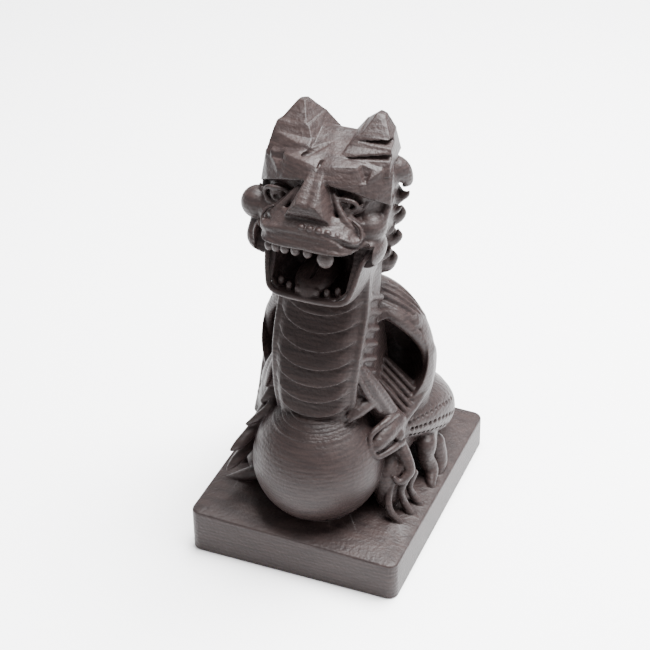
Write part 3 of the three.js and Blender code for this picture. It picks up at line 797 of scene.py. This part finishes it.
@dataclass
class Body:
    """The back and the two wings folded over it like cupped shells, open towards the front."""

    hump: tuple[Place, Place] = ((2.9, 2.9, 23.1), (9.6, 6.8, 13.0))
    spine: tuple[Place, Place] = ((0, 6.6, 20.0), (5.6, 7.6, 13.0))
    rump: tuple[Place, Place] = ((0, 9.2, 11.6), (11.0, 8.4, 8.6))
    chest: tuple[Place, Place] = ((0, -2.6, 17.0), (8.4, 5.2, 6.6))
    rim: tuple[Station, ...] = (
        (4.6, 0.6, 33.2, 0.9), (7.6, 0.4, 32.2, 0.85), (10.0, 1.4, 29.7, 0.8), (11.3, 2.5, 26.8, 0.75),
        (11.7, 2.8, 24.0, 0.75), (11.5, 2.2, 21.2, 0.8), (10.9, -0.4, 19.3, 0.8), (10.2, -3.4, 17.9, 0.7),
        (10.4, -4.6, 15.6, 0.6),
    )
    ribs: tuple[tuple[Station, ...], ...] = (
        ((5.6, 1.6, 34.4, 0.8), (5.2, 6.6, 32.0, 0.6), (4.4, 9.6, 25.6, 0.6), (3.6, 12.6, 18.6, 0.5)),
        ((9.8, 2.2, 31.0, 0.8), (9.2, 6.8, 28.2, 0.6), (7.8, 9.4, 22.6, 0.6), (6.6, 13.4, 16.0, 0.5)),
        ((11.6, 3.4, 26.0, 0.7), (11.0, 6.6, 23.2, 0.6), (10.0, 9.6, 18.8, 0.6), (8.8, 13.0, 14.0, 0.5)),
    )
    hollow: tuple[tuple[float, ...], ...] = (
        (-9.0, 8.6, 26.2, 6.4, 7.0), (-0.5, 8.2, 26.2, 5.0, 6.5), (2.6, 7.6, 26.0, 3.9, 5.7),
        (5.2, 7.0, 25.6, 2.8, 4.4), (6.8, 6.6, 25.0, 1.4, 2.4),
    )
    fan: tuple[Place, ...] = (
        (5.4, 1.6, 24.9), (5.4, -4.6, 22.6), (11.0, 1.6, 20.2), (10.0, -4.6, 17.6), (5.0, 1.6, 12.0),
        (5.0, -4.6, 12.0), (10.6, 1.6, 12.0), (9.8, -4.6, 12.0),
    )
    fold_count: int = 6
    streaks_back: tuple[float, ...] = (0.4, 1.4, 2.4, 3.6)

    def hollow_rings(self) -> np.ndarray:
        """The bowl inside a wing, ring by ring from front to back."""
        angles = np.linspace(0, 2 * math.pi, 28, endpoint=False)
        rings = []
        for y, x, z, wide, tall in self.hollow:
            rings.append([(x + wide * math.cos(a), y, z + tall * math.sin(a)) for a in angles])
        return np.array(rings)

    def folds(self) -> list[Limb]:
        """The fan of membrane folds at the foot of each wing."""
        made = []
        for i in range(self.fold_count):
            start = (6.2 - 0.1 * i, 0.9 - 0.95 * i, 24.6 - 0.36 * i, 0.36)
            end = (11.0 - 0.16 * i, 0.5 - 0.95 * i, 20.3 - 0.4 * i, 0.44)
            made += both_sides([start, end], steps=1)
        return made

    def on_hump(self, x: float, y: float) -> float:
        """Height of the hump's surface above a place on its right side."""
        (cx, cy, cz), (rx, ry, rz) = self.hump
        return cz + rz * math.sqrt(max(0.0, 1 - ((x - cx) / rx) ** 2 - ((y - cy) / ry) ** 2))

    def shoulder_streaks(self) -> list[Limb]:
        """Creases in the membrane that run down behind the wing's front edge."""
        made = []
        for i, back in enumerate(self.streaks_back):
            places = [(x, back + 0.05 * (x - 4) ** 2) for x in (4.2 + 0.5 * i, 6.2, 8.2, 9.9 + 0.25 * i)]
            depth = (0.12, 0.34, 0.36, 0.12)
            made += both_sides([(x, y, self.on_hump(x, y), r) for (x, y), r in zip(places, depth)])
        return made

    def carve(self, block: WoodBlock) -> None:
        """Adds the trunk, hollows the wings, and adds their rims, ribs and folds."""
        block.add(*lump_on_both_sides(*self.hump), blend=0.5)
        block.add(Lump(*self.spine), blend=0.8)
        block.add(Lump(*self.rump), blend=0.8)
        rings = self.hollow_rings()
        block.cut(Skin(rings), Skin(rings * np.array([-1, 1, 1])), blend=0.15)
        block.add(Lump(*self.chest), blend=0.6)
        block.add(*both_sides(self.rim), blend=0.2)
        for rib in self.ribs:
            block.add(*both_sides(rib), blend=0.6)
        block.cut(*self.shoulder_streaks(), blend=0.25)
        block.add(*facets_on_both_sides(self.fan, 0.2), blend=0.3)
        block.add(*self.folds(), blend=0.12)


@dataclass
class Forelegs:
    """The arms that come down from the chest, and the paws that grip the ball."""

    arm: tuple[Station, ...] = (
        (5.2, -7.4, 28.6, 0.9), (6.1, -6.8, 26.2, 1.3), (7.2, -5.7, 23.4, 1.5), (8.0, -4.6, 20.4, 1.7),
        (8.6, -4.2, 16.4, 1.8), (9.0, -4.0, 11.0, 1.8),
    )
    locks: tuple[tuple[Station, ...], ...] = (
        ((5.7, -8.5, 28.6, 0.3), (6.9, -7.9, 25.2, 0.45), (8.2, -6.5, 21.6, 0.35)),
        ((6.1, -7.6, 28.8, 0.3), (7.6, -6.9, 25.2, 0.45), (9.1, -5.5, 21.2, 0.35)),
        ((6.2, -6.6, 28.2, 0.3), (8.0, -5.8, 24.8, 0.45), (9.6, -4.4, 20.8, 0.35)),
    )
    right_paw: tuple[tuple[Station, ...], ...] = (
        ((7.6, -5.0, 22.6, 0.9), (6.9, -7.2, 23.1, 1.0), (6.1, -9.0, 22.7, 0.85), (5.3, -10.3, 21.8, 0.25)),
        ((9.2, -4.0, 18.2, 1.8), (9.0, -6.6, 18.2, 1.5), (8.7, -8.4, 17.7, 1.1), (8.4, -9.4, 17.4, 0.6)),
        ((9.8, -4.2, 19.9, 0.4), (9.2, -6.5, 20.1, 0.5), (8.0, -9.0, 19.3, 0.4), (8.1, -9.9, 17.9, 0.35)),
        ((8.1, -9.9, 17.9, 0.35), (9.0, -9.6, 16.3, 0.4), (10.3, -7.4, 16.3, 0.5), (10.8, -5.0, 16.0, 0.6)),
        ((6.6, -6.2, 23.7, 0.3), (5.9, -8.2, 24.0, 0.35), (5.1, -10.2, 22.3, 0.2)),
        ((10.0, -4.6, 15.0, 1.3), (11.3, -5.2, 13.9, 1.0), (12.4, -6.1, 12.2, 0.75), (11.6, -7.6, 11.2, 0.5),
         (10.9, -8.0, 12.0, 0.35)),
        ((11.2, -5.9, 12.6, 0.7), (10.6, -7.2, 11.3, 0.55), (10.4, -8.7, 9.4, 0.5), (10.9, -9.7, 7.6, 0.55),
         (12.2, -9.6, 6.0, 0.6)),
        ((12.2, -6.0, 11.6, 0.6), (11.6, -7.2, 9.6, 0.55), (11.8, -6.9, 7.6, 0.55), (12.9, -7.2, 5.9, 0.6)),
        ((12.4, -4.4, 10.6, 0.6), (12.0, -4.9, 8.6, 0.5), (12.3, -4.6, 7.0, 0.55), (13.4, -4.8, 5.7, 0.6)),
    )
    left_paw: tuple[tuple[Station, ...], ...] = (
        ((-6.2, -4.6, 22.0, 1.0), (-7.2, -6.6, 20.6, 1.0), (-8.2, -7.6, 19.6, 0.5)),
        ((-6.4, -5.6, 20.4, 0.9), (-6.8, -8.6, 19.6, 0.7), (-8.2, -9.8, 18.3, 0.6),
         (-9.5, -10.4, 17.3, 0.25)),
        ((-8.4, -6.4, 16.9, 1.2), (-9.0, -9.6, 16.0, 0.9), (-10.0, -12.0, 15.0, 0.7),
         (-10.8, -13.0, 14.4, 0.25)),
        ((-9.0, -6.6, 14.0, 1.2), (-9.8, -10.2, 13.0, 0.85), (-10.5, -12.6, 12.2, 0.7),
         (-11.1, -13.8, 11.6, 0.25)),
        ((-7.6, -8.6, 8.6, 1.2), (-10.6, -9.6, 7.4, 0.9), (-13.2, -9.9, 6.4, 0.3)),
        ((-9.6, -3.8, 11.6, 1.3), (-11.4, -5.0, 8.8, 0.9), (-12.8, -6.0, 6.0, 0.8)),
    )
    heel: tuple[Place, Place] = ((9.4, -5.4, 9.6), (2.1, 3.6, 4.8))
    right_knuckle: tuple[Place, Place] = ((10.4, -5.2, 17.3), (0.9, 0.9, 0.9))

    def carve(self, block: WoodBlock) -> None:
        """Adds the arms with their long hair, the fingers and the talons."""
        block.add(*both_sides(self.arm), blend=0.5)
        for lock in self.locks:
            block.add(*both_sides(lock), blend=0.12)
        block.add(*lump_on_both_sides(*self.heel), blend=0.3)
        for finger in (*self.right_paw, *self.left_paw):
            block.add(Limb(finger), blend=0.15)
        block.add(Lump(*self.right_knuckle), blend=0.1)


@dataclass
class HindLegs:
    """The scaly haunches and the feet set on the plinth."""

    haunch: tuple[Station, ...] = (
        (7.4, 12.6, 10.4, 4.0), (9.8, 8.4, 12.4, 3.9), (10.3, 4.4, 14.2, 3.2), (9.8, 0.4, 15.4, 2.4),
        (9.2, -2.8, 16.4, 1.6),
    )
    foot: tuple[Station, ...] = (
        (10.4, 4.4, 11.0, 2.2), (12.0, 1.6, 11.0, 1.5), (12.0, 1.6, 8.8, 1.2), (12.8, 1.6, 6.8, 1.1),
        (13.6, -0.4, 5.6, 0.6),
    )
    toe: tuple[Station, ...] = ((12.2, 4.8, 9.0, 1.5), (13.0, 4.2, 6.6, 1.3), (13.5, 2.8, 5.4, 0.6))

    def scale_pits(self) -> list[Lump]:
        """Rows of small pits between the scales on the outer side of each haunch."""
        rows = Limb(self.haunch, steps=4).path()
        made = []
        for x, y, z, radius in rows[2:-1:1]:
            for lift in (-0.55, 0.0, 0.55):
                outer = x + radius * math.cos(lift)
                height = z + radius * math.sin(lift)
                made += lump_on_both_sides((outer, y, height), (0.3, 0.34, 0.26))
        return made

    def carve(self, block: WoodBlock) -> None:
        """Adds the haunches with their scale pits, and the feet."""
        block.add(*both_sides(self.haunch), blend=0.4)
        block.cut(*self.scale_pits(), blend=0.1)
        block.add(*both_sides(self.foot), blend=0.25)
        block.add(*both_sides(self.toe), blend=0.25)


@dataclass
class Mane:
    """Locks standing out behind the head and down the neck, and the crest of spikes."""

    locks: tuple[tuple[Station, ...], ...] = (
        ((6.4, 0.8, 54.6, 2.2), (8.0, 1.2, 54.4, 1.5), (8.9, 1.6, 52.9, 0.7), (8.4, 1.8, 52.0, 0.3)),
        ((6.2, 1.4, 50.4, 2.0), (7.9, 1.2, 50.7, 0.9), (9.0, 0.8, 51.3, 0.45), (9.5, 0.6, 52.0, 0.12)),
        ((6.0, 1.8, 47.2, 1.9), (7.5, 1.6, 47.4, 1.0), (8.4, 1.4, 48.2, 0.45), (8.3, 1.2, 49.2, 0.15)),
        ((5.4, 2.0, 43.6, 1.9), (6.9, 1.8, 43.7, 1.0), (7.8, 1.6, 44.4, 0.5), (7.7, 1.4, 45.4, 0.15)),
        ((5.2, 2.4, 39.6, 1.9), (6.3, 2.2, 39.9, 1.0), (7.1, 2.0, 40.7, 0.45), (7.0, 1.8, 41.6, 0.15)),
        ((6.4, 0.6, 48.9, 1.2), (7.9, 0.2, 49.2, 0.5), (8.7, 0.0, 50.0, 0.15)),
        ((5.8, 0.8, 45.4, 1.2), (7.0, 0.6, 45.8, 0.5), (7.6, 0.4, 46.7, 0.15)),
        ((5.4, 1.0, 41.6, 1.2), (6.5, 0.8, 42.0, 0.5), (7.0, 0.6, 42.9, 0.15)),
    )
    crest_from: Place = (0.0, 5.2, 56.0)
    crest_over: Place = (0.0, 3.4, 40.0)
    crest_to: Place = (0.0, 10.6, 30.0)
    spikes: int = 8
    spike_length: float = 2.6

    def crest(self) -> list[Limb]:
        """The spikes along the back of the neck."""
        start, over, end = (np.array(p) for p in (self.crest_from, self.crest_over, self.crest_to))
        made = []
        for i in range(self.spikes):
            share = (i + 0.5) / self.spikes
            root = (1 - share) ** 2 * start + 2 * share * (1 - share) * over + share**2 * end
            along = 2 * (1 - share) * (over - start) + 2 * share * (end - over)
            along /= np.linalg.norm(along)
            outward = np.array([0.0, -along[2], along[1]])
            inside, tip = root - 2.4 * outward, root + self.spike_length * outward
            stations = [(*inside, 2.0), (*root, 1.4), (*tip, 0.15)]
            made.append(Limb(stations, thin_along=(1, 0, 0), thinness=1.3))
        return made

    def carve(self, block: WoodBlock) -> None:
        """Adds the locks and the crest."""
        for lock in self.locks:
            block.add(*both_sides(lock), blend=0.3)
        block.add(*self.crest(), blend=0.4)


@dataclass
class Tail:
    """The tail laid round the back of the plinth."""

    path: tuple[Station, ...] = (
        (2.0, 14.0, 11.0, 3.4), (-3.0, 15.2, 9.4, 2.8), (-8.4, 15.2, 8.0, 2.2), (-12.2, 13.0, 7.2, 1.7),
        (-13.4, 9.2, 6.8, 1.2), (-13.2, 6.2, 6.8, 0.5),
    )

    def carve(self, block: WoodBlock) -> None:
        """Adds the tail."""
        block.add(Limb(self.path), blend=0.5)


# ------------------------------------------------------------------ finish


@dataclass(frozen=True)
class DarkWood:
    """Oiled dark reddish-brown hardwood with fine level tool lines and open pores."""

    light: tuple[float, float, float] = (0.0205, 0.0128, 0.0118)
    dark: tuple[float, float, float] = (0.0110, 0.0068, 0.0066)
    light_from: float = 0.68
    dark_to: float = 0.35
    roughness: float = 0.48
    sheen: float = 0.2
    grain_stretch: tuple[float, float, float] = (0.15e3, 0.5e3, 2.6e3)
    line_pitch_mm: float = 0.589
    line_waver: float = 10.186
    line_depth_mm: float = 0.05
    pore_scale: float = 2.2e3
    pore_depth_mm: float = 0.16

    # A wave texture of scale one repeats after this length.
    WAVE_LENGTH = 2 * math.pi / 20

    def material(self, unit: float) -> bpy.types.Material:
        """Builds the node material.

        Args:
            unit: Length of a design millimetre, in metres.

        Returns:
            The finished material.
        """
        made = bpy.data.materials.new("dark_wood")
        made.use_nodes = True
        nodes, link = made.node_tree.nodes, made.node_tree.links.new
        surface = nodes["Principled BSDF"]
        place = nodes.new("ShaderNodeTexCoord").outputs["Object"]

        def node(kind: str, feed: bpy.types.NodeSocket, into: str, **values) -> bpy.types.Node:
            """Adds a node with one linked input and the rest of its inputs as plain values."""
            added = nodes.new(kind)
            link(feed, added.inputs[into])
            for name, value in values.items():
                added.inputs[name].default_value = value
            return added

        per_pitch = 1.0 / (self.line_pitch_mm * unit)
        grain_map = node("ShaderNodeMapping", place, "Vector", Scale=self.grain_stretch)
        grain = node("ShaderNodeTexNoise", grain_map.outputs["Vector"], "Vector", Scale=1.6, Detail=5.0)
        ramp = node("ShaderNodeValToRGB", grain.outputs["Fac"], "Fac")
        stops = ((self.dark_to, self.dark), (self.light_from, self.light))
        for element, (position, colour) in zip(ramp.color_ramp.elements, stops):
            element.position, element.color = position, (*colour, 1)
        link(ramp.outputs["Color"], surface.inputs["Base Color"])

        stretch = (self.line_waver, self.line_waver, per_pitch)
        lines_map = node("ShaderNodeMapping", place, "Vector", Scale=stretch)
        lines = node("ShaderNodeTexWave", lines_map.outputs["Vector"], "Vector",
                     Scale=self.WAVE_LENGTH, Distortion=0.6)
        lines.wave_type, lines.bands_direction = "BANDS", "Z"
        bump = node("ShaderNodeBump", lines.outputs["Fac"], "Height",
                    Strength=0.25, Distance=self.line_depth_mm * unit)
        pores = node("ShaderNodeTexNoise", place, "Vector", Scale=self.pore_scale, Detail=3.0)
        rough = node("ShaderNodeBump", pores.outputs["Fac"], "Height",
                     Strength=0.6, Distance=self.pore_depth_mm * unit)
        link(bump.outputs["Normal"], rough.inputs["Normal"])
        link(rough.outputs["Normal"], surface.inputs["Normal"])
        surface.inputs["Roughness"].default_value = self.roughness
        surface.inputs["Specular IOR Level"].default_value = self.sheen
        return made


# ------------------------------------------------------------------ the sculpture


class Detail(Enum):
    """How finely the block is cut, as the cell size in millimetres."""

    QUICK = 0.22
    FULL = 0.12


@dataclass
class CarvedDragon:
    """The whole carving as one closed mesh."""

    design_height: float = 62.0
    most_triangles: int = 190_000
    node: str = "carved_dragon"

    @property
    def unit(self) -> float:
        """Length of a design millimetre in metres, from the CAD solid's height."""
        low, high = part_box(self.node)
        return (high.z - low.z) / self.design_height

    def carve(self, detail: Detail) -> WoodBlock:
        """Cuts the block from the plinth upwards."""
        block = WoodBlock((-15.6, -19.2, -0.6), (15.6, 19.2, 63.0), detail.value)
        upper, lower = UpperJaw(), LowerJaw()
        Body().carve(block)
        Neck().carve(block)
        HindLegs().carve(block)
        Tail().carve(block)
        Forelegs().carve(block)
        Ball().carve(block)
        Plinth().carve(block)
        Mane().carve(block)
        Skull().carve(block)
        Ears().carve(block)
        Eye((-5.5, -6.3, 52.6)).carve(block)
        Eye((3.8, -6.7, 53.4), radius=0.95, half_width=1.6, half_height=0.85).carve(block)
        Nose().carve(block)
        Cheeks().carve(block)
        upper.carve(block)
        lower.carve(block)
        lower.add_tongue(block)
        upper.add_teeth(block)
        return block

    def build(self, finish: bpy.types.Material, detail: Detail) -> bpy.types.Object:
        """Makes the mesh object and thins it to the triangle limit."""
        spots, quads = self.carve(detail).surface()
        mesh = bpy.data.meshes.new("dragon_carving")
        mesh.from_pydata(spots * self.unit, [], quads.tolist())
        mesh.validate()
        carving = bpy.data.objects.new("dragon_carving", mesh)
        bpy.context.scene.collection.objects.link(carving)
        thinner = carving.modifiers.new("thin", "DECIMATE")
        thinner.ratio = min(1.0, self.most_triangles / (2 * len(quads)))
        whole = bpy.context.evaluated_depsgraph_get()
        thinned = bpy.data.meshes.new_from_object(carving.evaluated_get(whole))
        carving.modifiers.clear()
        carving.data = thinned
        bpy.data.meshes.remove(mesh)
        thinned.name = "dragon_carving"
        thinned.shade_smooth()
        thinned.materials.clear()
        thinned.materials.append(finish)
        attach(carving, "root")
        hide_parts(self.node)
        LOG.info("%s: %d faces", carving.name, len(thinned.polygons))
        return carving


# ------------------------------------------------------------------ studio


@dataclass
class Studio:
    """A pale sweep, soft lamps and the camera."""

    low: Vector
    high: Vector
    azimuth: float = 22.53
    elevation: float = 35.12
    roll: float = -0.97
    reach: float = 4.383
    lens: float = 111.33
    aim: tuple[float, float, float] = (-0.0346, 0.0, 0.463)

    def add_camera(self) -> None:
        """Stands the camera in front, to the right and above."""
        height = self.high.z - self.low.z
        data = bpy.data.cameras.new("camera")
        data.lens, data.sensor_width = self.lens, 36.0
        camera = bpy.data.objects.new("camera", data)
        bpy.context.scene.collection.objects.link(camera)
        a, e = math.radians(self.azimuth), math.radians(self.elevation)
        back = Vector((math.sin(a) * math.cos(e), -math.cos(a) * math.cos(e), math.sin(e)))
        right = Vector((math.cos(a), math.sin(a), 0))
        up = back.cross(right)
        turn = Matrix.Rotation(math.radians(self.roll), 3, back)
        right, up = turn @ right, turn @ up
        axes = Matrix((right, up, back)).transposed()
        camera.matrix_world = Matrix.Translation(
            Vector(self.aim) * height + back * (self.reach * height)
        ) @ axes.to_4x4()
        data.clip_start, data.clip_end = 0.005, 10.0
        bpy.context.scene.camera = camera

    def add_floor(self) -> None:
        """Lays the pale floor and curves it up behind."""
        height = self.high.z - self.low.z
        wide, deep = 14 * height, 10 * height
        profile = [(-deep, 0.0), (deep * 0.6, 0.0)]
        radius = 2.5 * height
        for angle in np.linspace(0, math.pi / 2, 12):
            profile.append((deep * 0.6 + radius * math.sin(angle), radius * (1 - math.cos(angle))))
        profile.append((deep * 0.6 + radius, 9 * height))
        spots = [(side * wide, y, z) for y, z in profile for side in (-1, 1)]
        faces = [(2 * i, 2 * i + 1, 2 * i + 3, 2 * i + 2) for i in range(len(profile) - 1)]
        mesh = bpy.data.meshes.new("floor")
        mesh.from_pydata(spots, [], faces)
        mesh.shade_smooth()
        paper = bpy.data.materials.new("pale_paper")
        paper.use_nodes = True
        surface = paper.node_tree.nodes["Principled BSDF"]
        surface.inputs["Base Color"].default_value = (0.97, 0.97, 0.98, 1)
        surface.inputs["Roughness"].default_value = 0.9
        mesh.materials.append(paper)
        floor = bpy.data.objects.new("floor", mesh)
        bpy.context.scene.collection.objects.link(floor)

    def add_lamp(self, name: str, place: Place, size: float, power: float) -> None:
        """Hangs a soft square lamp, placed in heights of the object, that faces its middle."""
        height = self.high.z - self.low.z
        data = bpy.data.lights.new(name, "AREA")
        data.size, data.energy = size * height, power * height * height
        lamp = bpy.data.objects.new(name, data)
        lamp.location = Vector(place) * height
        aim = Vector((0, 0, height / 2)) - lamp.location
        lamp.rotation_mode = "QUATERNION"
        lamp.rotation_quaternion = aim.to_track_quat("-Z", "Y")
        bpy.context.scene.collection.objects.link(lamp)

    def build(self) -> None:
        """Sets up the whole studio."""
        self.add_camera()
        self.add_floor()
        self.add_lamp("top_lamp", (0.8, 0.9, 4.6), 3.0, 1700.0)
        self.add_lamp("side_lamp", (4.6, -0.6, 2.6), 2.4, 130.0)
        self.add_lamp("front_lamp", (-2.5, -5.0, 2.2), 3.5, 40.0)
        world = bpy.data.worlds.new("studio")
        world.use_nodes = True
        world.node_tree.nodes["Background"].inputs["Color"].default_value = (1, 1, 1, 1)
        world.node_tree.nodes["Background"].inputs["Strength"].default_value = 1.0
        bpy.context.scene.world = world


def main() -> None:
    """Builds the carving and the studio round it."""
    logging.basicConfig(level=logging.INFO)
    sculpture = CarvedDragon()
    finish = DarkWood().material(sculpture.unit)
    sculpture.build(finish, Detail.FULL)
    Studio(CAD_LOW, CAD_HIGH).build()


if __name__ == "__main__":
    main()
